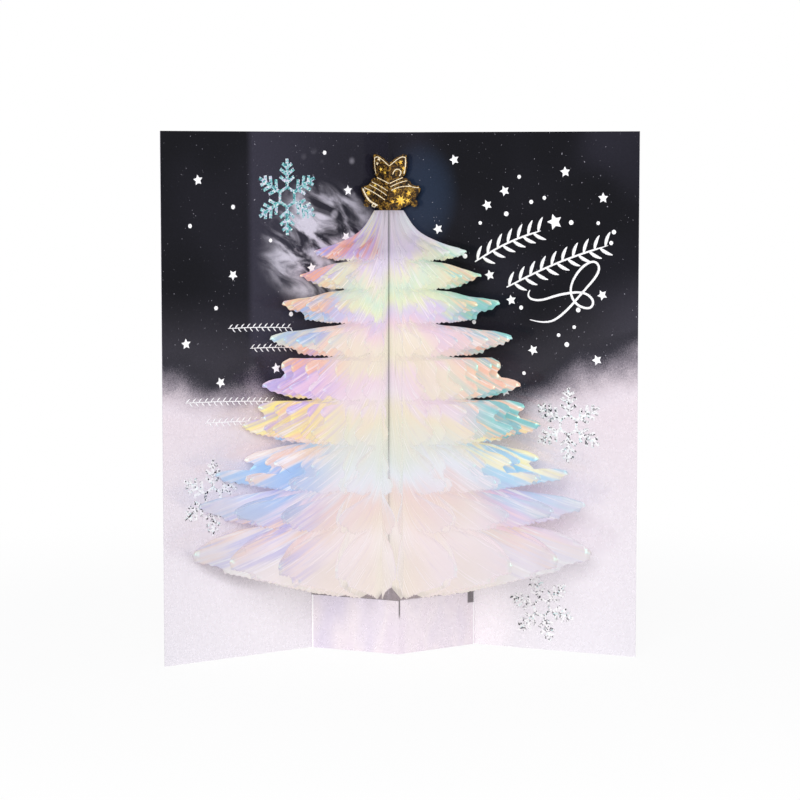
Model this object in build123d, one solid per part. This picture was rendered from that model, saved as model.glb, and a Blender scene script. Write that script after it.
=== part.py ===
"""Pop up card, standing open: a board card folded at its spine, a folded base strip, a fan of film leaves cut to a
half tree, a folded gold topper and foil snowflakes. Millimetres, +Z up, the spine's foot at the origin, and the card
opens towards -Y."""
import os
from math import cos, radians, sin, tan

from build123d import *

# card
card_height = 228.0
leaf_width = 118.0
card_thickness = 0.45
opening_angle = 120.0

# base strip, which folds flat with the card
strip_leg = 42.0
strip_height = 24.0
strip_thickness = 0.3
tab_length = 9.0
glue_line = 0.05

# film tree
tree_radius = 104.4
collar_top = 193.3
film_thickness = 0.12
film_gap = 0.1
leaf_count = 16
right_lift_angle = 8.0
bow_share = 0.86

# gold topper
topper_span = 15.6
topper_height = 25.2
topper_thickness = 0.3
topper_setback = 3.2
clapper_radius = 1.7

# foil snowflakes
foil_thickness = 0.08
flake_radius = 16.6
small_flake_radius = 15.4
small_flake_angle = 15.0
flake_bar = 1.5

half_opening = opening_angle / 2
tree_foot = strip_height + film_gap
tree_height = collar_top - tree_foot
inner_corner = card_thickness / 2 / sin(radians(half_opening))
pair_pitch = (opening_angle - right_lift_angle) / (leaf_count / 2)
leaf_pitch = film_thickness + film_gap
inner_radius = leaf_pitch / sin(radians(pair_pitch / 2))

# Tree outline, from the collar down the outer edge to the foot: shares of the tree radius and of the tree height.
# Each tier is a frond that droops to a tip, turns back under a lobe and ends in a narrow slit that runs in to a point.
collar_shares = [(0.080, 1.000), (0.105, 0.981), (0.133, 0.961), (0.172, 0.943), (0.238, 0.926), (0.314, 0.912)]
tier_shares = [
    [(0.389, 0.902), (0.412, 0.895), (0.394, 0.885), (0.338, 0.877), (0.296, 0.871), (0.170, 0.875)],
    [(0.235, 0.868), (0.304, 0.864), (0.384, 0.853), (0.455, 0.842), (0.486, 0.834), (0.444, 0.821), (0.382, 0.805),
     (0.319, 0.797), (0.195, 0.801)],
    [(0.265, 0.793), (0.331, 0.791), (0.428, 0.780), (0.529, 0.775), (0.576, 0.765), (0.537, 0.748), (0.468, 0.736),
     (0.459, 0.721), (0.341, 0.710), (0.195, 0.712)],
    [(0.281, 0.703), (0.359, 0.701), (0.483, 0.695), (0.585, 0.690), (0.633, 0.675), (0.592, 0.658), (0.518, 0.646),
     (0.493, 0.634), (0.433, 0.627), (0.240, 0.629)],
    [(0.340, 0.620), (0.463, 0.622), (0.570, 0.616), (0.578, 0.599), (0.562, 0.585), (0.642, 0.569), (0.671, 0.555),
     (0.630, 0.541), (0.531, 0.521), (0.380, 0.514)],
    [(0.471, 0.512), (0.553, 0.515), (0.655, 0.513), (0.692, 0.501), (0.660, 0.480), (0.719, 0.469), (0.764, 0.454),
     (0.722, 0.436), (0.640, 0.424), (0.572, 0.409), (0.460, 0.403)],
    [(0.560, 0.399), (0.632, 0.393), (0.738, 0.379), (0.757, 0.367), (0.710, 0.355), (0.828, 0.346), (0.890, 0.333),
     (0.850, 0.316), (0.749, 0.304), (0.660, 0.292), (0.538, 0.290)],
    [(0.660, 0.284), (0.805, 0.278), (0.920, 0.269), (0.965, 0.254), (0.934, 0.237), (0.862, 0.228), (0.845, 0.215),
     (0.757, 0.202), (0.570, 0.198)],
    [(0.720, 0.193), (0.843, 0.182), (0.948, 0.156), (0.998, 0.134), (0.982, 0.113), (0.872, 0.096), (0.848, 0.079),
     (0.766, 0.066), (0.575, 0.031), (0.412, 0.000)],
]

# Topper wing, from the foot of its fold round the bell and the bow loop: shares of its span and of its height.
bell_lip_shares = [(0.39, 0.04), (0.74, 0.15), (0.99, 0.38)]
bell_shoulder_shares = [(0.93, 0.43), (0.80, 0.43), (0.69, 0.47), (0.62, 0.54), (0.53, 0.57), (0.36, 0.54)]
bow_shares = [(0.50, 0.63), (0.57, 0.74), (0.57, 0.93), (0.54, 0.98), (0.47, 0.99), (0.25, 0.93), (0.00, 0.82)]
topper_neck_share = 0.34
clapper_share = (0.79, 0.13)

# Snowflake arm: where each pair of side bars leaves it, and how long the bars are, as shares of the flake's radius.
side_bar_shares = [(0.38, 0.27), (0.58, 0.26), (0.77, 0.18)]
side_bar_angle = 55.0
ring_share = 0.26

# Snowflake centres: distance from the spine as a share of the leaf width, and height as a share of the card's.
flakes = {
    "foil_snowflake_left_upper": (-1, 0.460, 0.876, flake_radius, 0.0),
    "foil_snowflake_left_lower": (-1, 0.790, 0.311, flake_radius, 0.0),
    "foil_snowflake_right_middle": (1, 0.731, 0.440, flake_radius, 0.0),
    "foil_snowflake_right_lower": (1, 0.630, 0.082, small_flake_radius, small_flake_angle),
}


def along(angle, length, origin=(0.0, 0.0)):
    """Plan point at a length from origin; the angle is measured from -Y, and is negative to the left."""
    turn = radians(angle)
    return (origin[0] + length * sin(turn), origin[1] - length * cos(turn))


def band(path, thickness):
    """Plan face of a folded strip: the path's two offsets, mitred at each fold."""
    points = [Vector(*point) for point in path]
    runs = [(end - start).normalized() for start, end in zip(points, points[1:])]
    normals = [Vector(-run.Y, run.X) for run in runs]
    mitres = [normals[0]]
    for before, after in zip(normals, normals[1:]):
        bisector = (before + after).normalized()
        mitres.append(bisector / bisector.dot(before))
    mitres.append(normals[-1])
    left = [point + mitre * (thickness / 2) for point, mitre in zip(points, mitres)]
    right = [point - mitre * (thickness / 2) for point, mitre in zip(points, mitres)]
    return make_face(Polyline(*left, *reversed(right), close=True))


def page_plane(side, origin):
    """A plane along one page: x runs from left to right and is zero at the spine, y is up, z points to the reader."""
    turn = radians(half_opening)
    return Plane(origin=origin, x_dir=(sin(turn), -side * cos(turn), 0), z_dir=(-side * cos(turn), -sin(turn), 0))


def folded_card():
    """One board folded at the spine, with the crease rounded on the outside."""
    half = card_thickness / 2
    corner = (0.0, -inner_corner)
    left_end = along(-half_opening, leaf_width)
    right_end = along(half_opening, leaf_width)
    left_inner = along(90 - half_opening, half, left_end)
    left_outer = along(-90 - half_opening, half, left_end)
    right_inner = along(half_opening - 90, half, right_end)
    right_outer = along(half_opening + 90, half, right_end)
    left_back = along(-90 - half_opening, half)
    right_back = along(half_opening + 90, half)
    outline = [
        Polyline(left_back, left_outer, left_inner, corner, right_inner, right_outer, right_back),
        ThreePointArc(right_back, (0.0, half), left_back),
    ]
    return extrude(make_face(outline), amount=card_height)


def base_strip():
    """A strip that stands parallel to the two pages, with a glue tab turned in along each page."""
    offset = strip_thickness / 2 + glue_line
    corner = (0.0, -inner_corner - offset / sin(radians(half_opening)))
    left_fold = along(-half_opening, strip_leg, corner)
    right_fold = along(half_opening, strip_leg, corner)
    front_fold = along(half_opening, strip_leg, left_fold)
    left_tab = along(-half_opening, strip_leg - tab_length, corner)
    right_tab = along(half_opening, strip_leg - tab_length, corner)
    path = [left_tab, left_fold, front_fold, right_fold, right_tab]
    return extrude(band(path, strip_thickness), amount=strip_height)


def tree_outline():
    """Half tree in the leaf's own plane: x from the stem outwards, z up."""
    shares = list(collar_shares)
    for tier in tier_shares:
        shares += tier
    edge = [(across * tree_radius, tree_foot + up * tree_height) for across, up in shares]
    return [(inner_radius, tree_foot), (inner_radius, collar_top)] + edge


def film_leaf(side):
    """One film leaf along +X, creased in plan: it parts from its partner at the stem and meets it again at the rim."""
    near = leaf_pitch / 2
    middle = (inner_radius + tree_radius) / 2
    bow = near + bow_share * (middle - inner_radius) * tan(radians(pair_pitch / 2))
    plan = band([(inner_radius, near), (middle, bow), (tree_radius, near)], film_thickness)
    sheet = Pos(0, 0, tree_foot) * extrude(plan, amount=tree_height)
    profile = make_face(Plane.XZ * Polyline(*tree_outline(), close=True))
    leaf = sheet & extrude(profile, amount=bow + film_thickness, dir=(0, 1, 0))
    return leaf if side > 0 else mirror(leaf, about=Plane.XZ)


def film_leaves():
    """The fan: pairs of leaves from the left page to the last pair, which stands off the right page."""
    shapes = {side: film_leaf(side) for side in (-1, 1)}
    leaves = []
    for number in range(leaf_count):
        pair = (number + 1) // 2
        side = 1 if number % 2 == 0 else -1
        angle = pair * pair_pitch - half_opening
        leaves.append(Pos(0, -inner_corner, 0) * Rot(0, 0, angle - 90) * shapes[side])
    return leaves


def scaled(shares, width, height):
    return [(across * width, up * height) for across, up in shares]


def topper_wing():
    """One wing's outline in its own plane: x from the fold outwards, y up."""
    lip = scaled(bell_lip_shares, topper_span, topper_height)
    shoulder = scaled(bell_shoulder_shares, topper_span, topper_height)
    bow = scaled(bow_shares, topper_span, topper_height)
    neck = (topper_neck_share * topper_span, 0.0)
    edge = [
        Polyline((0.0, 0.0), neck, lip[0]),
        ThreePointArc(*lip),
        Polyline(lip[-1], *shoulder, *bow, (0.0, 0.0)),
    ]
    clapper = Pos(*scaled([clapper_share], topper_span, topper_height)[0]) * Circle(clapper_radius)
    return make_face(edge) + clapper


def gold_topper():
    """Two bells under a bow, cut from one foil card and folded down the middle."""
    wing = topper_wing()
    foot = (0, -inner_corner - topper_setback, collar_top + film_gap)
    right = page_plane(1, foot)
    half = extrude(right * wing, amount=topper_thickness, dir=right.z_dir)
    return half + mirror(half, about=Plane.YZ)


def snowflake(radius):
    """A six armed flake with three pairs of side bars on each arm, round an open hexagon."""
    half = flake_bar / 2
    arm = Pos(ring_share * radius + (1 - ring_share) * radius / 2, 0) * Rectangle((1 - ring_share) * radius, flake_bar)
    for place, length in side_bar_shares:
        for side in (-1, 1):
            bar = Pos(length * radius / 2, 0) * Rectangle(length * radius, flake_bar)
            arm += Pos(place * radius, 0) * Rot(0, 0, side * side_bar_angle) * bar
    flake = RegularPolygon(ring_share * radius + half, 6) - RegularPolygon(ring_share * radius - half, 6)
    for turn in range(6):
        flake += Rot(0, 0, turn * 60) * arm
    return Rot(0, 0, 90) * flake


def foil_snowflake(side, across, up, radius, turn):
    place = Pos(side * across * leaf_width, up * card_height) * Rot(0, 0, turn)
    page = page_plane(side, (0, -inner_corner, 0))
    return extrude(page * place * snowflake(radius), amount=foil_thickness, dir=page.z_dir)


os.makedirs("parts", exist_ok=True)
export_step(folded_card(), "parts/folded_card.step")
export_step(base_strip(), "parts/base_strip.step")
for number, leaf in enumerate(film_leaves(), start=1):
    export_step(leaf, f"parts/film_leaf_{number:02d}.step")
export_step(gold_topper(), "parts/gold_topper.step")
for name, place in flakes.items():
    export_step(foil_snowflake(*place), f"parts/{name}.step")
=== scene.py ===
# %% [markdown]
# A greetings card stands open like a book. Inside it a fan of thin pearly film leaves makes half a fir tree, with a
# gold bell topper, foil snowflakes and a strip of board that holds the two pages at their angle. The CAD frame already
# has every piece at its real size, so this lesson gives each piece its finish and the film its soft curves.

# %% Load the frame
import random
from math import atan2, cos, hypot, pi, radians, sin, tan

import bmesh
import bpy
from mathutils import Matrix, Vector


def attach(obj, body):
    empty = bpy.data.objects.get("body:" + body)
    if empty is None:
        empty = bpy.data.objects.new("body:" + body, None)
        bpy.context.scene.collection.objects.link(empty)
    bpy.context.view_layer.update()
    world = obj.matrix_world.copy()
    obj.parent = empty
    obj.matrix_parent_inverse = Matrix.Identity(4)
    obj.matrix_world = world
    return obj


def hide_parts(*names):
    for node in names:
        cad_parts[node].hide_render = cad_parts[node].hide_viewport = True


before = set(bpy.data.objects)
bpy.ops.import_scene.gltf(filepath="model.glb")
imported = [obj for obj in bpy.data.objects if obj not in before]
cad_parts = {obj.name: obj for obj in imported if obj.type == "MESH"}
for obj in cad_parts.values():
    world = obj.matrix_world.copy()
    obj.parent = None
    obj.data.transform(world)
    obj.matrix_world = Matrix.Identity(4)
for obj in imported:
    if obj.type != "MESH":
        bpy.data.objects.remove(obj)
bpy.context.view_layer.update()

# %% [markdown]
# The real card is measured in millimetres, while Blender works in metres. The lengths here are those of the card's
# drawing. A page is a flat sheet that is turned sixty degrees from the reader, so a small matrix takes a place on the
# page, as distance from the spine and height, to its place in the room.

# %% Sizes and the page matrix
mm = 0.001
half_opening = radians(60)
page_width, page_height = 118.0, 228.0
card_thickness = 0.45
inner_corner = card_thickness / 2 / sin(half_opening)
strip_height = 24.0


def page_matrix(side, lift=0.0, foot=(0.0, -inner_corner, 0.0)):
    """Page places in millimetres to the room in metres: x runs from left to right, y up, z to the reader."""
    across = Vector((sin(half_opening), -side * cos(half_opening), 0))
    outward = Vector((-side * cos(half_opening), -sin(half_opening), 0))
    origin = Vector(foot) + outward * lift
    turn = Matrix((across, (0, 0, 1), outward)).transposed().to_4x4()
    return Matrix.Scale(mm, 4) @ Matrix.Translation(origin) @ turn


print("left page's end:", [round(v, 4) for v in page_matrix(-1) @ Vector((-page_width, 0, 0))])

# %% [markdown]
# A finish in Blender is a net of nodes. Written out one by one they take pages, so two small classes help. A Finish is
# one material with a Principled shader, and its node method adds any node from its type, its settings and its inputs.
# A Wire is an output that can be added, taken away or multiplied like a number, and each sum adds a Math node.

# %% Finishes and wires


def colour(code):
    """A colour written as in a paint program, as the linear numbers that Blender's sockets hold."""
    parts = [int(code[i : i + 2], 16) / 255 for i in (0, 2, 4)]
    return tuple(c / 12.92 if c <= 0.04045 else ((c + 0.055) / 1.055) ** 2.4 for c in parts) + (1.0,)


class Wire:
    """A value in a finish that sums can be made with."""

    def __init__(self, finish, socket):
        self.finish, self.socket = finish, socket

    def maths(self, operation, *values):
        return self.finish.node("ShaderNodeMath", {"operation": operation}, dict(enumerate(values)))

    def __add__(self, other):
        return self.maths("ADD", self, other)

    def __radd__(self, other):
        return self.maths("ADD", other, self)

    def __sub__(self, other):
        return self.maths("SUBTRACT", self, other)

    def __rsub__(self, other):
        return self.maths("SUBTRACT", other, self)

    def __mul__(self, other):
        return self.maths("MULTIPLY", self, other)

    def __rmul__(self, other):
        return self.maths("MULTIPLY", other, self)

    def __truediv__(self, other):
        return self.maths("DIVIDE", self, other)

    def __rtruediv__(self, other):
        return self.maths("DIVIDE", other, self)

    def __neg__(self):
        return self.maths("MULTIPLY", self, -1.0)

    def __abs__(self):
        return self.maths("ABSOLUTE", self)

    def root(self):
        return self.maths("SQRT", self)

    def larger(self, other):
        return self.maths("MAXIMUM", self, other)

    def log(self):
        return self.maths("LOGARITHM", self, 2.718)

    def rise(self, start, end, low=0.0, high=1.0):
        """Goes smoothly from low to high while this value goes from start to end."""
        inputs = {"Value": self, "From Min": start, "From Max": end, "To Min": low, "To Max": high}
        return self.finish.node("ShaderNodeMapRange", {"interpolation_type": "SMOOTHSTEP"}, inputs)


class Finish:
    """One material with a Principled shader."""

    def __init__(self, name, **constants):
        self.material = bpy.data.materials.new(name)
        self.material.use_nodes = True
        self.tree = self.material.node_tree
        self.shader = self.tree.nodes["Principled BSDF"]
        for socket, value in constants.items():
            self.shader.inputs[socket.replace("_", " ")].default_value = value

    def node(self, kind, settings=None, inputs=None, output=0):
        made = self.tree.nodes.new(kind)
        for name, value in (settings or {}).items():
            if name == "stops":
                self.set_stops(made.color_ramp.elements, value)
            else:
                setattr(made, name, value)
        for name, value in (inputs or {}).items():
            self.feed(made.inputs[name], value)
        return Wire(self, made.outputs[output])

    def feed(self, socket, value):
        if isinstance(value, Wire):
            self.tree.links.new(value.socket, socket)
        else:
            socket.default_value = value

    def set_stops(self, elements, stops):
        while len(elements) < len(stops):
            elements.new(0.5)
        for element, (place, shade) in zip(elements, stops):
            element.position = place
            element.color = colour(shade)

    def ramp(self, value, stops):
        return self.node("ShaderNodeValToRGB", {"stops": stops}, {"Fac": value})

    def bands(self, value, stops):
        """A ramp whose stops are values in order, such as heights in millimetres, each with its shade."""
        low, high = stops[0][0], stops[-1][0]
        shares = [((place - low) / (high - low), shade) for place, shade in stops]
        return self.ramp((value - low) / (high - low), shares)

    def blend(self, factor, first, second, kind="MIX"):
        settings = {"data_type": "RGBA", "blend_type": kind}
        return self.node("ShaderNodeMix", settings, {0: factor, 6: first, 7: second}, output=2)

    def places(self):
        """The point on the piece in millimetres, as a vector and as three values."""
        point = self.node("ShaderNodeTexCoord", output="Object")
        scaled = self.node("ShaderNodeVectorMath", {"operation": "SCALE"}, {0: point, "Scale": 1 / mm})
        return (scaled, *(self.node("ShaderNodeSeparateXYZ", None, {0: scaled}, output=i) for i in range(3)))

    def vector(self, x, y, z):
        return self.node("ShaderNodeCombineXYZ", None, {0: x, 1: y, 2: z})

    def noise(self, vector, scale, detail=3.0, roughness=0.5, distortion=0.0):
        inputs = {"Vector": vector, "Scale": scale, "Detail": detail, "Roughness": roughness, "Distortion": distortion}
        return self.node("ShaderNodeTexNoise", None, inputs)

    def bump(self, height, strength, distance):
        inputs = {"Height": height, "Strength": strength, "Distance": distance * mm}
        self.feed(self.shader.inputs["Normal"], self.node("ShaderNodeBump", None, inputs))

    def set(self, **inputs):
        for socket, value in inputs.items():
            self.feed(self.shader.inputs[socket.replace("_", " ")], value)
        return self

    def put_on(self, *pieces):
        for piece in pieces:
            piece.data.materials.clear()
            piece.data.materials.append(self.material)


print("a middle grey is", round(colour("808080")[0], 3), "in linear light")

# %% [markdown]
# Each new piece is drawn in a bmesh, Blender's editable mesh, in millimetres and flat where it is made. When it is done
# it is moved to its place in the room, so that the finished object sits at the origin, and it rides on the card.

# %% Finish a piece


def start_piece():
    return bmesh.new()


def end_piece(bm, name, matrix, finish):
    """Turns the drawing into a piece that rides on the card."""
    bmesh.ops.transform(bm, matrix=matrix, verts=bm.verts)
    mesh = bpy.data.meshes.new(name)
    bm.to_mesh(mesh)
    bm.free()
    piece = bpy.data.objects.new(name, mesh)
    bpy.context.scene.collection.objects.link(piece)
    finish.put_on(piece)
    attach(piece, "root")
    return piece


print("a piece is a mesh, a finish and the body that it rides on")

# %% [markdown]
# The card is a mirror board: paper with a silver film, over which dark and pale inks are printed. The ink hides most of
# the silver, and the clear film on top keeps a sharp shine in which the tree can be seen. So the ink is the base colour
# and a clear coat makes the shine, weaker where the dark ink lies. The night sky ends over the snow in a sprayed edge.
# The height of that edge rises outwards, and a fine noise breaks it into specks. The faint mirror images in the board
# are soft spots of colour, because a real reflection would move with the reader.

# %% Finish of the printed board


def soft_spot(away, z, middle, reach):
    """One at a place on the page and nothing beyond its reach."""
    across, up = (away - middle[0]) / reach[0], (z - middle[1]) / reach[1]
    return (across * across + up * up).rise(1.0, 0.0)


def night_sky(board, point, away, z, over_edge, right):
    """Dark ink with faint painted reflections: a paler part, a smear and specks on the left, a blue tint on the right.
    """
    left = 1.0 - right
    cloud = board.noise(point, 0.02, detail=1.0).rise(0.35, 0.7)
    sky = board.blend(cloud * right.rise(0.0, 1.0, 0.4, 1.0), colour("0b0b12"), colour("201f29"))
    sky = board.blend(over_edge.rise(46.0, 12.0) * 0.14, sky, colour("7a7682"))
    # Painted reflections from here on: a paler part, a blue tint, a smear and specks.
    lit_part = left * away.rise(76.0, 71.5)
    sky = board.blend(lit_part * away.rise(20.0, 72.0, 0.28, 0.66), sky, colour("3c3a48"))
    blue_reflection = soft_spot(away, z, (16.0, 200.0), (20.0, 26.0)) * right
    sky = board.blend(blue_reflection * 0.4, sky, colour("33445e"))
    slanted = board.vector((away + 0.6 * z) * 0.045, (z - 0.6 * away) * 0.1, 0.0)
    haze = board.noise(slanted, 1.0, detail=5.0, distortion=0.7)
    painted_reflection = lit_part * soft_spot(away, z, (37.0, 179.0), (37.0, 32.0)) * haze.rise(0.36, 0.7) * 1.3
    flat = board.vector(away, z, 0.0)
    specks = board.node("ShaderNodeTexVoronoi", None, {"Vector": flat, "Scale": 0.105}).rise(0.3, 0.1)
    painted_reflection = painted_reflection + soft_spot(away, z, (30.0, 204.0), (32.0, 20.0)) * left * specks * 0.6
    return board.blend(painted_reflection.rise(0.0, 1.0, 0.0, 0.9), sky, colour("d6d2e0"))


def snowy_ground(board, away, z, right):
    """Pale ink, with a soft patch of painted light beside the strip on the right page."""
    snow = board.ramp(z / 130.0, [(0.0, "e2dee4"), (0.45, "e1dae0"), (0.8, "dfd3da")])
    # A soft patch of painted light beside the strip on the right page, where shade falls.
    return board.blend(soft_spot(away, z, (40.0, 14.0), (26.0, 30.0)) * right * 0.9, snow, colour("f6eff5"))


def printed_board():
    board = Finish("printed_mirror_board", Coat_Weight=1.0, Coat_Roughness=0.05, Coat_IOR=1.6, Specular_IOR_Level=0.05)
    point, x, y, z = board.places()
    away = (x * x + y * y).root()
    inner = (-cos(half_opening) * abs(x) - sin(half_opening) * y).rise(-0.1, 0.1)
    right = x.rise(-0.5, 0.5)
    edge_left = 101.2 + 0.147 * away
    edge_right = 76.6 + 0.45 * away
    over_edge = z - (edge_left + right * (edge_right - edge_left))
    drift = board.noise(point, 0.035, detail=2.0) - 0.5
    spray = board.noise(point, 2.4, detail=4.0, roughness=0.8) - 0.5
    softness = 15.0 + 2.0 * right
    ink = ((over_edge + drift * 26.0 + spray * 22.0) / softness).rise(-1.0, 1.1)
    sky = night_sky(board, point, away, z, over_edge, right)
    snow = snowy_ground(board, away, z, right)
    mist = board.ramp(ink, [(0.0, "e6dce4"), (0.3, "cdc1c9"), (0.55, "867e88"), (0.8, "32303a"), (1.0, "111118")])
    print_colour = board.blend(ink.rise(0.85, 1.0), board.blend(ink.rise(0.0, 0.12), snow, mist), sky)
    dust = board.noise(point, 1.1, detail=1.0).rise(0.75, 0.8) * ink.rise(0.4, 0.9)
    print_colour = board.blend(dust * 0.5, print_colour, colour("c9c6d2"))
    # A painted shadow: a soft grey-brown line below the tree's lowest left frond on the left page.
    painted_shadow_line = z - 28.6 - 0.0058 * (away - 50.0) * (away - 50.0) + spray * 12.0
    painted_shadow_line = abs(painted_shadow_line).rise(5.0, 0.0) * away.rise(55.0, 85.0) * away.rise(112.0, 96.0) * (1.0 - right)
    print_colour = board.blend(painted_shadow_line * 0.45, print_colour, colour("766b72"))
    outside = board.ramp(z / page_height, [(0.0, "e9e2ea"), (0.5, "dcd5e0"), (1.0, "c9c4d2")])
    wear = board.noise(point, 0.3, detail=6.0, roughness=0.7)
    dark = ink * inner
    board.set(Base_Color=board.blend(inner, outside, print_colour), Roughness=wear.rise(0.3, 0.7, 0.18, 0.34))
    return board.set(Metallic=0.25 - 0.15 * dark, Coat_Weight=1.0 - 0.88 * dark)


page_finish = printed_board()
page_finish.put_on(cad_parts["folded_card"])
print("board:", len(page_finish.tree.nodes), "nodes")

# %% [markdown]
# The strip in front is the same kind of board with no dark ink: a pale pink lavender that mirrors softly, with soft
# upright streaks of tone painted in as its reflections. Where it was cut, its core shows as a thin dark line along the
# top edge. Each crease by its tabs has a pale painted highlight and a grey painted shade line. A short dark mark
# shows at the front fold, and a painted dark reflection shows behind the right tab.

# %% Finish of the base strip


def pearl_board():
    board = Finish("pearl_mirror_board", Coat_Weight=0.8, Coat_Roughness=0.08, Coat_IOR=1.6)
    point, x, y, z = board.places()
    # Soft upright streaks of tone: painted reflections in the mirror board.
    cloud = board.noise(board.vector(x * 0.06, z * 0.02, y * 0.06), 1.0, detail=2.0)
    shade = board.ramp(cloud, [(0.3, "e0d4e1"), (0.5, "e9dfe5"), (0.7, "dad1e1")])
    rim = z.rise(strip_height - 0.45, strip_height - 0.2) * x.rise(0.2, -0.2, 0.45, 0.9)
    # Each tab crease has a painted highlight and, beside it, a painted grey shade line.
    for fold, tone in ((36.1, "ffffff"), (37.3, "8b7f8e")):
        crease_light_and_shade = (abs(abs(x) - fold) - 0.2).rise(0.15, 0.0)
        shade = board.blend(crease_light_and_shade * 0.9, shade, colour(tone))
    # The end mask is a painted dark reflection at the strip's right end, behind the right tab.
    end = x.rise(32.8, 33.4) * x.rise(36.2, 35.9) * z.rise(18.6, 19.2)
    front = (abs(x - 0.5) - 0.25).rise(0.2, 0.0) * z.rise(14.5, 18.0)
    shade = board.blend(rim, shade, colour("554c52"))
    shade = board.blend(end * 0.85, shade, colour("3b3135"))
    shade = board.blend(front * 0.85, shade, colour("4f464b"))
    board.set(Base_Color=shade, Metallic=0.35, Roughness=board.noise(point, 0.4, detail=4.0).rise(0.3, 0.7, 0.16, 0.3))
    return board


strip_finish = pearl_board()
strip_finish.put_on(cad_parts["base_strip"])
print("strip board:", len(strip_finish.tree.nodes), "nodes")

# %% [markdown]
# The tree's film is clear plastic with layers thinner than a wavelength of light, so it turns white light into pearl
# colours that run along its folds. They change with height, so they are kept as bands: a height in millimetres and the
# colour there. The middle of the tree is calm and nearly white, while the fronds at its sides are strong.

# %% Pearl colours by height
tree_top = 193.3
calm_pearl = [
    (24, "f6efe2"), (40, "f8f1e6"), (52, "fff8f4"), (62, "f9eee0"), (70, "f8e6de"), (79, "f2faff"), (88, "ecf5ec"),
    (98, "f2f4e2"), (103, "f9f2d8"), (109, "f9f0f4"), (115, "f5e4ee"), (121, "f5efd8"), (134, "f4eedc"),
    (141, "f3dbe3"), (149, "dfd8f3"), (154, "eff6cc"), (162, "d8f1dc"), (168, "f1f1d4"), (174, "e4ddf3"),
    (182, "ebe6ee"), (193, "ded8e8"),
]
left_pearl = [
    (80, "f8f0e4"), (98, "f6eef2"), (104, "b2b2f2"), (108, "f4e8f2"), (113, "f8cfba"), (118, "9fa6f4"),
    (123, "e9e2fa"), (130, "8cbcf2"), (138, "9ac6f6"), (143, "f2e8f0"), (149, "fbd2b6"), (155, "fff08a"),
    (162, "c3acf0"), (168, "f0d0e8"), (173, "c0b0ec"), (178, "f8bc9c"), (184, "f6e4d6"), (190, "d4ded6"),
    (196, "a0c2ee"), (203, "f9c39c"), (208, "f4ecc8"), (213, "c6b2f0"), (219, "f9ae86"), (223, "a4a6ea"),
    (228, "f8b184"), (236, "f0eaf4"),
]
right_pearl = [
    (80, "f8f2e8"), (97, "f2ecf6"), (104, "e3dbf6"), (109, "fad6c4"), (114, "f8cfe8"), (121, "cbbcf2"),
    (127, "a8cbf8"), (133, "84cdf0"), (139, "8bd0f0"), (142, "fbf2cc"), (148, "fff094"), (153, "fac8a4"),
    (157, "62bcc6"), (164, "7accca"), (170, "f9cdb8"), (177, "f9b896"), (183, "9ed0cc"), (188, "f6dccc"),
    (194, "9ecad6"), (200, "74cfc2"), (206, "f9c7a0"), (211, "f6eec2"), (216, "80cec4"), (223, "e2f3e8"),
    (232, "d2d6e2"), (238, "eeeaf2"),
]
print("bands:", len(calm_pearl), "calm,", len(left_pearl), "left,", len(right_pearl), "right")

# %% [markdown]
# A frond hangs steeply at the stem and flatter outwards, so its streaks follow a height that grows with the logarithm
# of the distance from the spine. Noise that is drawn out along that line gives streaks, and the bands colour them. A
# thin film layer on the shader adds colours that change with the angle. The real tree looks brighter than its pages,
# so the film lets some light through and has a painted glow: it gives off light of its own, most in the middle, where
# its base colour is darker.

# %% Finish of the film
# Painted glow: how strongly the film gives off light at each height, and how dark its base colour is in the middle.
painted_heart_glow = [
    (24, "ffffff"), (40, "f8f8f8"), (110, "f8f8f8"), (140, "ffffff"), (170, "ffffff"), (176, "dedede"), (193, "dedede"),
]
heart_cover = [(24, "787878"), (110, "848484"), (150, "969696"), (193, "a0a0a0")]
film_coats = {"Thin Film Thickness": 420.0, "Thin Film IOR": 2.1}


def pearl_colours(film, x, z, away, turn, right):
    """The calm colours of the middle, the strong ones of the fronds and the fine streaks in both."""
    hang = z + 24.0 * (1.0 + away / 8.0).log()
    leafwise = film.noise(film.vector(turn * 4.0, z * 0.02, away * 0.02), 1.0, detail=1.0) - 0.5
    streak = film.noise(film.vector(hang * 0.29, away * 0.012, turn * 3.0), 1.0, detail=3.0, roughness=0.55) - 0.5
    fine = film.noise(film.vector(hang * 0.5, away * 0.02, turn * 6.0), 1.0, detail=3.0, roughness=0.7)
    patch = film.noise(film.vector(x * 0.05, z * 0.02, 3.0), 1.0, detail=1.0) - 0.5
    line = hang + leafwise * 12.0 + streak * 42.0
    strong = film.blend(right, film.bands(line, left_pearl), film.bands(line, right_pearl))
    strong = film.blend(fine.rise(0.53, 0.66) * z.rise(110.0, 60.0, 0.55, 0.85), strong, colour("fdfbfd"))
    strong = film.blend(fine.rise(0.42, 0.28) * 0.4, strong, colour("9a92dc"))
    calm = film.bands(z + streak * 20.0 + patch * 40.0, calm_pearl)
    calm = film.blend(fine.rise(0.54, 0.7) * 0.6, calm, colour("ffffff"))
    calm = film.blend(fine.rise(0.44, 0.3) * 0.3, calm, colour("d3cfe6"))
    return calm, strong, fine


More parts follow.
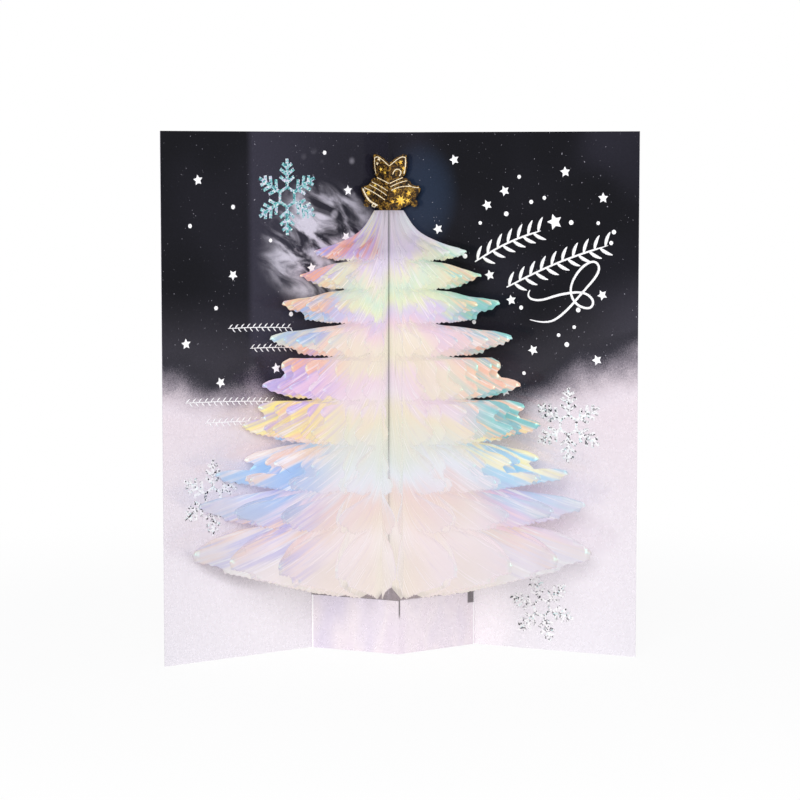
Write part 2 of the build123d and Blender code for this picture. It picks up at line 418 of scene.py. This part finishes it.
def pearl_film():
    film = Finish("pearl_film", Coat_Weight=0.6, Coat_Roughness=0.05, Coat_IOR=1.5, IOR=1.6, Emission_Strength=1.0)
    for socket, value in film_coats.items():
        film.shader.inputs[socket].default_value = value
    point, x, y, z = film.places()
    away = (x * x + y * y).root()
    turn = film.node("ShaderNodeMath", {"operation": "ARCTAN2"}, {0: x, 1: -y})
    right = x.rise(-4.0, 4.0)
    calm, strong, fine = pearl_colours(film, x, z, away, turn, right)
    side = abs(x) - 11.0 - 0.15 * (tree_top - z)
    collar = z.rise(168.0, 176.0) * x.rise(-3.0, -9.0)
    vivid = side.rise(-4.0, 20.0, 0.03, 0.92).larger(collar)
    shade = film.blend(vivid * z.rise(40.0, 90.0, 0.72, 1.0), calm, strong)
    faint = away.rise(55.0, 100.0) * z.rise(115.0, 75.0) * right.rise(0.0, 1.0, 0.3, 0.5)
    shade = film.blend(faint, shade, colour("f5f0f7"))
    outer = (side - z.rise(110.0, 60.0) * 14.0).rise(-8.0, 18.0)
    # The emission colour is a painted glow, strongest in the middle.
    lit = film.blend(outer, film.bands(z, painted_heart_glow), colour("d2d2d2"))
    cover = film.blend(outer, film.bands(z, heart_cover), colour("e6e6e6"))
    clear = (away.rise(60.0, 104.0) * side.rise(0.0, 30.0)).rise(0.0, 1.0, 0.92, 0.55)
    base, emitted = film.blend(1.0, shade, cover, "MULTIPLY"), film.blend(1.0, shade, lit, "MULTIPLY")
    film.set(Base_Color=base, Emission_Color=emitted, Alpha=clear, Roughness=fine.rise(0.3, 0.7, 0.12, 0.3))
    glow = film.node("ShaderNodeBsdfTranslucent", None, {"Color": colour("bcbab8")})
    surface = film.tree.nodes["Material Output"].inputs["Surface"]
    body = Wire(film, film.shader.outputs["BSDF"])
    film.feed(surface, film.node("ShaderNodeMixShader", None, {0: 0.4, 1: body, 2: glow}))
    return film


film_finish = pearl_film()
print("film:", len(film_finish.tree.nodes), "nodes")

# %% [markdown]
# Every leaf is cut with one stencil: half a fir with nine ragged tiers. The CAD leaf has straight edges and one sharp
# crease, but real film is cut in smooth lobes with small teeth under them and bends softly. So the stencil is a closed
# Bezier curve through the outline's points, filled to make a flat sheet, and cut into upright strips so that it has
# something to bend along. The points are shares of the leaf's width and height.

# %% Cut the leaf
tree_radius = 104.4
tree_foot = strip_height + 0.1
leaf_count = 16
film_thickness = 0.12
glue_gap = 0.1
opening, free_at_pages = 120, 8
pair_pitch = radians((opening - free_at_pages) / (leaf_count / 2))
leaf_pitch = film_thickness + glue_gap
tooth_pitch = 3.4
tooth_depth = (0.35, 0.9)
strip_count = 22
inner_radius = leaf_pitch / sin(pair_pitch / 2)
collar_shares = [(0.080, 1.000), (0.105, 0.981), (0.133, 0.961), (0.172, 0.943), (0.238, 0.926), (0.314, 0.912)]
tier_shares = [
    [(0.389, 0.902), (0.412, 0.895), (0.394, 0.885), (0.338, 0.877), (0.296, 0.871), (0.170, 0.875)],
    [(0.235, 0.868), (0.304, 0.864), (0.384, 0.853), (0.455, 0.842), (0.486, 0.834), (0.444, 0.821), (0.382, 0.805),
     (0.319, 0.797), (0.195, 0.801)],
    [(0.265, 0.793), (0.331, 0.791), (0.428, 0.780), (0.529, 0.775), (0.576, 0.765), (0.537, 0.748), (0.468, 0.736),
     (0.459, 0.721), (0.341, 0.710), (0.195, 0.712)],
    [(0.281, 0.703), (0.359, 0.701), (0.483, 0.695), (0.585, 0.690), (0.633, 0.675), (0.592, 0.658), (0.518, 0.646),
     (0.493, 0.634), (0.433, 0.627), (0.240, 0.629)],
    [(0.340, 0.620), (0.463, 0.622), (0.570, 0.616), (0.578, 0.599), (0.562, 0.585), (0.642, 0.569), (0.671, 0.555),
     (0.630, 0.541), (0.531, 0.521), (0.380, 0.514)],
    [(0.471, 0.512), (0.553, 0.515), (0.655, 0.513), (0.692, 0.501), (0.660, 0.480), (0.719, 0.469), (0.764, 0.454),
     (0.722, 0.436), (0.640, 0.424), (0.572, 0.409), (0.460, 0.403)],
    [(0.560, 0.399), (0.632, 0.393), (0.738, 0.379), (0.757, 0.367), (0.710, 0.355), (0.828, 0.346), (0.890, 0.333),
     (0.850, 0.316), (0.749, 0.304), (0.660, 0.292), (0.538, 0.290)],
    [(0.660, 0.284), (0.805, 0.278), (0.920, 0.269), (0.965, 0.254), (0.934, 0.237), (0.862, 0.228), (0.845, 0.215),
     (0.757, 0.202), (0.570, 0.198)],
    [(0.720, 0.193), (0.843, 0.182), (0.948, 0.156), (0.994, 0.134), (0.982, 0.113), (0.872, 0.096), (0.848, 0.079),
     (0.766, 0.066), (0.575, 0.031), (0.412, 0.003)],
]
slit_ends = [tier[-1] for tier in tier_shares[:-1]]


def with_teeth(tier, chance):
    """The tier with small teeth under its frond, cut upwards into the leaf."""
    height = tree_top - tree_foot
    tip = max(range(len(tier)), key=lambda place: tier[place][0])
    shares = tier[: tip + 1]
    for (x0, y0), (x1, y1) in zip(tier[tip:], tier[tip + 1 :]):
        count = max(1, round(hypot((x1 - x0) * tree_radius, (y1 - y0) * height) / tooth_pitch))
        for step in range(count):
            middle, end = (step + 0.5) / count, (step + 1) / count
            notch = chance.uniform(*tooth_depth) / height
            shares.append((x0 + (x1 - x0) * middle, y0 + (y1 - y0) * middle + notch))
            shares.append((x1, y1) if step == count - 1 else (x0 + (x1 - x0) * end, y0 + (y1 - y0) * end))
    return shares


def leaf_stencil():
    """The filled outline of a leaf, flat, with distance from the spine along X and height along Y, in millimetres."""
    chance = random.Random(5)
    shares = collar_shares + [share for tier in tier_shares for share in with_teeth(tier, chance)]
    height = tree_top - tree_foot
    stem = inner_radius / tree_radius
    shares = [(stem, 0.0), (stem, 1.0)] + shares
    knots = [(across * tree_radius, tree_foot + up * height) for across, up in shares]
    curve = bpy.data.curves.new("stencil", "CURVE")
    curve.dimensions = "2D"
    curve.fill_mode = "BOTH"
    curve.resolution_u = 3
    spline = curve.splines.new("BEZIER")
    spline.bezier_points.add(len(knots) - 1)
    spline.use_cyclic_u = True
    for number, (point, knot) in enumerate(zip(spline.bezier_points, knots)):
        point.co = (*knot, 0)
        straight = number < 3 or number == len(knots) - 1 or shares[number] in slit_ends
        point.handle_left_type = point.handle_right_type = "VECTOR" if straight else "AUTO"
    holder = bpy.data.objects.new("stencil", curve)
    bpy.context.scene.collection.objects.link(holder)
    bpy.context.view_layer.update()
    flat = bpy.data.meshes.new_from_object(holder.evaluated_get(bpy.context.evaluated_depsgraph_get()))
    bpy.data.objects.remove(holder)
    bpy.data.curves.remove(curve)
    return flat


def cut_strips(sheet, count):
    for step in range(1, count):
        away = inner_radius + (tree_radius - inner_radius) * step / count
        geometry = sheet.verts[:] + sheet.edges[:] + sheet.faces[:]
        bmesh.ops.bisect_plane(sheet, geom=geometry, plane_co=(away, 0, 0), plane_no=(1, 0, 0))


stencil = leaf_stencil()
blank = bmesh.new()
blank.from_mesh(stencil)
cut_strips(blank, strip_count)
print("blank:", len(blank.faces), "faces, reach", round(max(vert.co.x for vert in blank.verts), 1), "mm")

# %% [markdown]
# The leaves work in pairs. The two leaves of a pair are glued at the stem and at the rim and part in between, so the
# open card pulls each pair into a long cell, like one cell of a paper honeycomb. The bend is greatest half way out and
# has a soft crest. A slight ripple makes the pearl colours wander, as they do on real film.

# %% Bend, thicken and place the leaves
bow_share = 0.86
crest = 12.0
ripple_height = 0.22


def bent_leaf(side, angle, seed):
    """A copy of the blank, bent to its side of the pair, as thick as film and turned to its place in the fan."""
    leaf = blank.copy()
    middle = (inner_radius + tree_radius) / 2
    half = middle - inner_radius
    slope = bow_share * tan(pair_pitch / 2)
    chance = random.Random(seed)
    phase, drift = chance.uniform(0, 2 * pi), chance.uniform(0, 2 * pi)
    for vert in leaf.verts:
        away, up, _ = vert.co
        bow = slope * ((half**2 + crest**2) ** 0.5 - ((away - middle) ** 2 + crest**2) ** 0.5)
        swing = sin(pi * (away - inner_radius) / (tree_radius - inner_radius))
        ripple = ripple_height * swing * (away / tree_radius) * sin(up / 3.4 + away / 9.0 + phase)
        ripple += ripple_height * swing * (away / tree_radius) * sin(up / 8.0 - away / 6.0 + drift)
        vert.co = (away, side * (leaf_pitch / 2 + max(0.0, bow) + ripple), up)
    leaf.normal_update()
    bmesh.ops.solidify(leaf, geom=leaf.faces[:], thickness=film_thickness)
    bmesh.ops.recalc_face_normals(leaf, faces=leaf.faces[:])
    for face in leaf.faces:
        face.smooth = True
    room = Matrix.Scale(mm, 4) @ Matrix.Translation((0, -inner_corner, 0)) @ Matrix.Rotation(angle - pi / 2, 4, "Z")
    return leaf, room


for number in range(leaf_count):
    pair = (number + 1) // 2
    side = 1 if number % 2 == 0 else -1
    name = f"film_leaf_{number + 1:02d}"
    leaf, room = bent_leaf(side, pair * pair_pitch - half_opening, number)
    piece = end_piece(leaf, "pearl_leaf_" + name[-2:], room, film_finish)
    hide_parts(name)
print("leaves:", leaf_count, "with", len(piece.data.polygons), "faces each")

# %% [markdown]
# The topper is gold foil board. Foil mirrors whatever is round it, so it is dark where nothing is and bright where the
# lamps are. Lighter gold patches on a dark brown tone are painted reflections that give that look in any light. The
# snowflakes are glitter foil: a Voronoi texture gives each small cell a random value, which picks the cell's tone,
# metal and height.

# %% Finishes of the foils


def gold_foil(name, stops, metallic):
    foil = Finish(name, Metallic=metallic, Coat_Weight=0.25, Coat_Roughness=0.04)
    point, *_ = foil.places()
    # Patches of painted reflection: lighter and darker gold over the foil.
    reflection_patches = foil.noise(point, 0.5, detail=2.0, roughness=0.6, distortion=1.4)
    foil.set(Base_Color=foil.ramp(reflection_patches, stops), Roughness=reflection_patches.rise(0.3, 0.7, 0.12, 0.25))
    foil.bump(foil.noise(point, 0.8, detail=2.0), 0.35, 0.4)
    return foil


def glitter_foil(name, stops):
    foil = Finish(name, Coat_Weight=0.3, Coat_Roughness=0.04)
    point, *_ = foil.places()
    cells = foil.node("ShaderNodeTexVoronoi", None, {"Vector": point, "Scale": 1.5}, output="Color")
    grain = foil.node("ShaderNodeSeparateColor", None, {0: cells})
    foil.set(Base_Color=foil.ramp(grain, stops), Metallic=grain.rise(0.05, 0.35, 0.8, 0.1), Roughness=0.2)
    foil.bump(grain, 0.5, 0.2)
    return foil


gold_finish = gold_foil("gold_foil", [(0.38, "110902"), (0.46, "3e2607"), (0.54, "6a4a12"), (0.64, "a98435")], 0.75)
gold_line_finish = gold_foil("gold_lines", [(0.4, "f4d9a6"), (0.6, "fff6dc")], 0.3)
gold_star_finish = gold_foil("gold_stars", [(0.4, "f0b52c"), (0.6, "ffdc62")], 0.3)
silver_stops = [(0.0, "2c2a2e"), (0.1, "6b686e"), (0.2, "c4c1c6"), (0.5, "e8e6e8"), (0.9, "f4f3f4"), (1.0, "bfdcdc")]
teal_stops = [(0.0, "2b777e"), (0.25, "5eacb0"), (0.5, "9ad0ce"), (0.75, "beb8d6"), (1.0, "e6f0ee")]
silver_finish = glitter_foil("silver_glitter", silver_stops)
teal_finish = glitter_foil("teal_glitter", teal_stops)
gold_finish.put_on(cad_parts["gold_topper"])
teal_finish.put_on(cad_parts["foil_snowflake_left_upper"])
for place in ("left_lower", "right_middle", "right_lower"):
    silver_finish.put_on(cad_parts[f"foil_snowflake_{place}"])
print("foils done")

# %% [markdown]
# Stars, dots and scrolls are printed on the pages in white ink. Ink has no thickness to speak of, yet it is easiest to
# draw as very thin shapes that lie on the board: a star is a circle of ten corners with every second corner pulled in.

# %% Printed stars and dots
ink_lift = 0.03


def add_disc(bm, across, up, radius, corners=16, pull=1.0, turn=0.0):
    """A flat disc, or a star when every second corner is pulled in."""
    place = Matrix.Translation((across, up, 0)) @ Matrix.Rotation(turn, 4, "Z")
    made = bmesh.ops.create_circle(bm, cap_ends=True, radius=radius, segments=corners)["verts"]
    for corner in made[1::2]:
        corner.co *= pull
    bmesh.ops.transform(bm, matrix=place, verts=made)


white_ink = Finish("white_ink", Roughness=0.4, Coat_Weight=0.3)
ink_point, *_ = white_ink.places()
white_ink.set(Base_Color=white_ink.ramp(white_ink.noise(ink_point, 1.5), [(0.3, "f2f0f4"), (0.6, "fdfdfd")]))

star_radius = 2.4
large_star = (79.4, 188.9, 3.6)
left_stars = [
    (99.6, 207.3), (82.3, 166.5), (106.1, 137.8), (88.9, 120.5), (22.0, 202.3), (41.5, 168.5), (23.1, 181.8),
    (60.4, 125.3),
]
left_dots = [(82.1, 195.7), (103.7, 187.9), (91.0, 152.6), (34.5, 218.9), (63.0, 181.0), (52.5, 148.7)]
right_stars = [
    (31.9, 215.8), (55.9, 202.2), (47.7, 196.0), (84.1, 210.6), (101.6, 199.4), (49.0, 165.2), (59.2, 154.4),
    (101.5, 157.5), (69.6, 132.7), (99.3, 129.2), (56.5, 114.1), (24.2, 185.2),
]
right_dots = [
    (62.7, 208.4), (68.4, 197.5), (74.5, 199.3), (56.7, 192.2), (44.4, 188.1), (87.0, 188.7), (99.4, 188.6),
    (106.6, 184.8), (105.4, 180.1), (63.9, 151.2), (90.5, 150.8), (88.7, 143.3), (81.5, 139.6), (85.3, 135.6),
    (41.6, 144.3), (65.4, 122.4), (37.2, 173.4),
]


def print_stars(name, side, stars, dots, extra=()):
    drawing = start_piece()
    chance = random.Random(len(stars))
    for away, up in stars:
        add_disc(drawing, side * away, up, star_radius, corners=10, pull=0.5, turn=chance.uniform(-0.3, 0.3) + pi / 2)
    for away, up in dots:
        add_disc(drawing, side * away, up, chance.uniform(0.8, 1.1))
    for away, up, radius in extra:
        add_disc(drawing, side * away, up, radius, corners=10, pull=0.5, turn=pi / 2)
    return end_piece(drawing, name, page_matrix(side, ink_lift), white_ink)


print_stars("printed_stars_left", -1, left_stars, left_dots)
print_stars("printed_stars_right", 1, right_stars, right_dots, [large_star])
print("stars:", len(left_stars) + len(right_stars) + 1, "dots:", len(left_dots) + len(right_dots))

# %% [markdown]
# The card has scrolls of white ink: two leaf sprigs and a flourish on the right page, and rows of small sprigs on the
# left. A brush stroke is a smooth curve whose width swells and narrows, so it is drawn as a curve with a round bevel
# and a radius at each point, and then pressed flat.

# %% Scroll strokes


def add_stroke(bm, points, width, swell=None, press=0.02):
    """A flat stroke along a smooth curve through the page."""
    line = bpy.data.curves.new("stroke", "CURVE")
    line.dimensions = "3D"
    line.bevel_depth = width / 2
    line.bevel_resolution = 1
    line.resolution_u = 6
    line.use_fill_caps = True
    spline = line.splines.new("NURBS")
    spline.points.add(len(points) - 1)
    for place, (point, (across, up)) in enumerate(zip(spline.points, points)):
        share = place / (len(points) - 1)
        point.co = (across, up, 0, 1)
        point.radius = swell[place] if swell else 0.35 + 0.65 * sin(pi * share)
    spline.order_u = 3
    spline.use_endpoint_u = True
    holder = bpy.data.objects.new("stroke", line)
    mesh = bpy.data.meshes.new_from_object(holder)
    before = set(bm.verts)
    bm.from_mesh(mesh)
    fresh = [vert for vert in bm.verts if vert not in before]
    bmesh.ops.scale(bm, vec=(1, 1, press), verts=fresh)
    bpy.data.objects.remove(holder)
    bpy.data.curves.remove(line)
    bpy.data.meshes.remove(mesh)


def add_sprig(bm, start, end, arch, width, size, count):
    """An arched stem with small almond leaves, left and right of it in turn."""
    belly_turn, tip_turn = 1.15, 0.85
    (x0, y0), (x1, y1) = start, end
    course = atan2(y1 - y0, x1 - x0)

    def on_stem(share):
        return x0 + (x1 - x0) * share, y0 + (y1 - y0) * share + arch * sin(pi * share)

    add_stroke(bm, [on_stem(step / 8) for step in range(9)], width, swell=[0.6] + [1.0] * 7 + [0.3])
    for number in range(count):
        across, up = on_stem((number + 0.5) / count)
        way = -1 if number % 2 else 1
        belly = (across + 0.5 * size * cos(course + way * belly_turn), up + 0.5 * size * sin(course + way * belly_turn))
        tip = (across + size * cos(course + way * tip_turn), up + size * sin(course + way * tip_turn))
        add_stroke(bm, [(across, up), belly, tip], size * 0.42, swell=[0.25, 1.0, 0.1])


left_rows = [(85, 143.6, 52, 142.6), (73.8, 134.6, 42, 133.2), (106.8, 112.6, 61, 110.8), (96.8, 103.4, 53.2, 101.8)]
scrolls = start_piece()
add_sprig(scrolls, (42, 171), (73, 185), 1.5, 0.9, 6.6, 13)
add_sprig(scrolls, (57, 160), (104, 179), 1.5, 0.9, 6.6, 19)
swash = [(68, 146), (76, 144), (84, 149), (92, 158), (101, 168), (98, 173), (91, 169), (86, 160), (89, 153), (96, 151),
         (98, 155), (93, 159), (82, 157.5), (72, 154), (66, 156), (68, 159)]
add_stroke(scrolls, swash, 1.25, swell=[0.3, 0.7] + [1.0, 0.8] * 6 + [0.8, 0.4])
end_piece(scrolls, "printed_scroll_right", page_matrix(1, ink_lift), white_ink)

scrolls = start_piece()
for start, start_height, end, end_height in left_rows:
    add_sprig(scrolls, (-start, start_height), (-end, end_height), 0.4, 0.4, 2.3, int((start - end) / 1.5))
end_piece(scrolls, "printed_scroll_left", page_matrix(-1, ink_lift), white_ink)
print("scrolls drawn")

# %% [markdown]
# Two bells hang under a bow on the topper. Bright gold lines are stamped into its darker foil: the lip of each bell,
# the band of the ribbon, the edge of each loop, and a few small stars.

# %% Lines on the topper
topper_span = 15.6
topper_height = 25.2
topper_thickness = 0.3
topper_reach = 3.2
topper_foot = (0.0, -inner_corner - topper_reach, tree_top + 0.1)


def on_wing(side, shares):
    return [(side * across * topper_span, up * topper_height) for across, up in shares]


def stamp(side, name, finish, lines, stars=(), rays=5):
    drawing = start_piece()
    for width, shares in lines:
        add_stroke(drawing, on_wing(side, shares), width, swell=[1] * len(shares))
    for across, up, radius in stars:
        place = on_wing(side, [(across, up)])[0]
        add_disc(drawing, *place, radius, corners=2 * rays, pull=0.45, turn=0.3)
    end_piece(drawing, name, page_matrix(side, topper_thickness + ink_lift, topper_foot), finish)


bow_top = [(0.02, 0.78), (0.24, 0.89), (0.45, 0.955), (0.52, 0.92)]
bow_side = [(0.52, 0.92), (0.535, 0.76), (0.47, 0.645)]
ribbon = [(0.03, 0.47), (0.22, 0.53), (0.44, 0.575)]
lip = [(0.93, 0.385), (0.85, 0.285), (0.73, 0.185), (0.58, 0.13), (0.42, 0.085)]
mouth = [(0.88, 0.40), (0.55, 0.33), (0.16, 0.18)]
bands_left = [[(0.70, 0.45), (0.40, 0.38), (0.10, 0.26)], [(0.62, 0.50), (0.35, 0.44), (0.07, 0.34)]]
bands_right = [[(0.05, 0.41), (0.33, 0.50), (0.58, 0.52)], [(0.08, 0.35), (0.38, 0.44), (0.68, 0.42)]]
swirl = [(0.12, 0.63), (0.17, 0.71), (0.31, 0.73), (0.41, 0.66), (0.33, 0.60)]
clapper = [(0.62, 0.085), (0.55, 0.13), (0.47, 0.09), (0.54, 0.045), (0.62, 0.085)]
right_lip = [(0.94, 0.40), (0.74, 0.39), (0.6, 0.46)]
left_lines = [(0.9, lip), (0.45, bow_top), (0.35, bow_side), (0.45, ribbon), (0.5, mouth), (0.4, clapper)]
right_lines = [(0.45, bow_top), (0.55, bow_side), (0.45, ribbon), (0.5, swirl), (0.35, right_lip)]
line_width = 0.4
left_lines += [(line_width, band) for band in bands_left]
right_lines += [(line_width, band) for band in bands_right]
bow_stars = [(0.36, 0.9, 1.2), (0.43, 0.82, 0.9)]
left_bell_stars = [(0.74, 0.31, 1.4), (0.5, 0.44, 0.8), (0.28, 0.41, 0.8), (0.3, 0.72, 1.0), (0.16, 0.66, 0.8)]
right_bell_stars = [
    (0.62, 0.30, 1.4), (0.59, 0.17, 1.3), (0.19, 0.34, 1.2), (0.12, 0.15, 1.1), (0.37, 0.84, 1.2), (0.47, 0.74, 1.0),
]
stamp(-1, "topper_lines_left", gold_line_finish, left_lines, bow_stars, 4)
stamp(1, "topper_lines_right", gold_line_finish, right_lines)
stamp(-1, "topper_stars_left", gold_star_finish, (), left_bell_stars)
stamp(1, "topper_stars_right", gold_star_finish, (), right_bell_stars)
stamp(1, "topper_big_star", gold_star_finish, (), [(0.37, 0.17, 2.7)], 8)
print("topper lines drawn")

# %% [markdown]
# The card stands on a pale floor under a soft studio light: a broad lamp from the front left, a weaker one from the
# right, and an even grey from all round. What the camera sees behind the card is plain white, and so is what the foil
# and the film mirror. The floor keeps only a faint shadow.

# %% Floor, lamps and world
ray_kinds = ("Camera", "Glossy", "Transmission")
soft_light = 0.42
key_power, fill_power = 21, 6


def studio_floor():
    floor = bmesh.new()
    bmesh.ops.create_grid(floor, x_segments=1, y_segments=1, size=6.0)
    mesh = bpy.data.meshes.new("floor")
    floor.to_mesh(mesh)
    floor.free()
    piece = bpy.data.objects.new("floor", mesh)
    bpy.context.scene.collection.objects.link(piece)
    paint = Finish("floor_white", Base_Color=colour("fafafa"), Roughness=0.9)
    light = paint.node("ShaderNodeEmission", None, {"Color": (1, 1, 1, 1), "Strength": 1.0})
    camera, glossy, clear = (paint.node("ShaderNodeLightPath", output=f"Is {kind} Ray") for kind in ray_kinds)
    seen = camera.larger(glossy).larger(clear)
    point, x, y, z = paint.places()
    far = (x * x + y * y).root().rise(120.0, 420.0, 0.92, 1.0)
    body = Wire(paint, paint.shader.outputs["BSDF"])
    mixed = paint.node("ShaderNodeMixShader", None, {0: seen * far, 1: body, 2: light})
    paint.feed(paint.tree.nodes["Material Output"].inputs["Surface"], mixed)
    paint.put_on(piece)


def area_lamp(name, place, target, size, power):
    lamp = bpy.data.lights.new(name, "AREA")
    lamp.size = size
    lamp.energy = power
    holder = bpy.data.objects.new(name, lamp)
    bpy.context.scene.collection.objects.link(holder)
    holder.location = place
    holder.rotation_euler = (Vector(target) - Vector(place)).to_track_quat("-Z", "Y").to_euler()


def studio_world():
    world = bpy.data.worlds.new("studio")
    world.use_nodes = True
    bpy.context.scene.world = world
    nodes, links = world.node_tree.nodes, world.node_tree.links
    soft = nodes["Background"]
    soft.inputs["Color"].default_value = (0.93, 0.93, 1.0, 1)
    soft.inputs["Strength"].default_value = soft_light
    white = nodes.new("ShaderNodeBackground")
    white.inputs["Color"].default_value = (1, 1, 1, 1)
    white.inputs["Strength"].default_value = 1.0
    path = nodes.new("ShaderNodeLightPath")
    seen = path.outputs["Is Camera Ray"]
    for kind in ray_kinds[1:]:
        larger = nodes.new("ShaderNodeMath")
        larger.operation = "MAXIMUM"
        links.new(seen, larger.inputs[0])
        links.new(path.outputs[f"Is {kind} Ray"], larger.inputs[1])
        seen = larger.outputs[0]
    mix = nodes.new("ShaderNodeMixShader")
    links.new(seen, mix.inputs[0])
    links.new(soft.outputs[0], mix.inputs[1])
    links.new(white.outputs[0], mix.inputs[2])
    links.new(mix.outputs[0], nodes["World Output"].inputs["Surface"])


studio_floor()
studio_world()
area_lamp("key", (-0.45, -1.7, 0.85), (0, 0, 0.1), 1.0, key_power)
area_lamp("fill", (0.5, -1.7, 0.4), (0, 0, 0.1), 0.8, fill_power)

# %% [markdown]
# The photograph looks slightly down on the card from a little over a metre, with a long lens. Its place and turn were
# worked out from the corners of the card.

# %% Camera
camera_data = bpy.data.cameras.new("camera")
camera_data.lens = 115.47
camera_data.sensor_width = 36.0
camera_data.clip_end = 50.0
camera = bpy.data.objects.new("camera", camera_data)
bpy.context.scene.collection.objects.link(camera)
camera.location = Vector((-116.3, -1145.5, 218.0)) * mm
camera.rotation_euler = (radians(90 - 5.46), 0, radians(-6.058))
bpy.context.scene.camera = camera
bpy.context.scene.view_settings.view_transform = "Standard"
print("camera:", [round(v, 3) for v in camera.location])
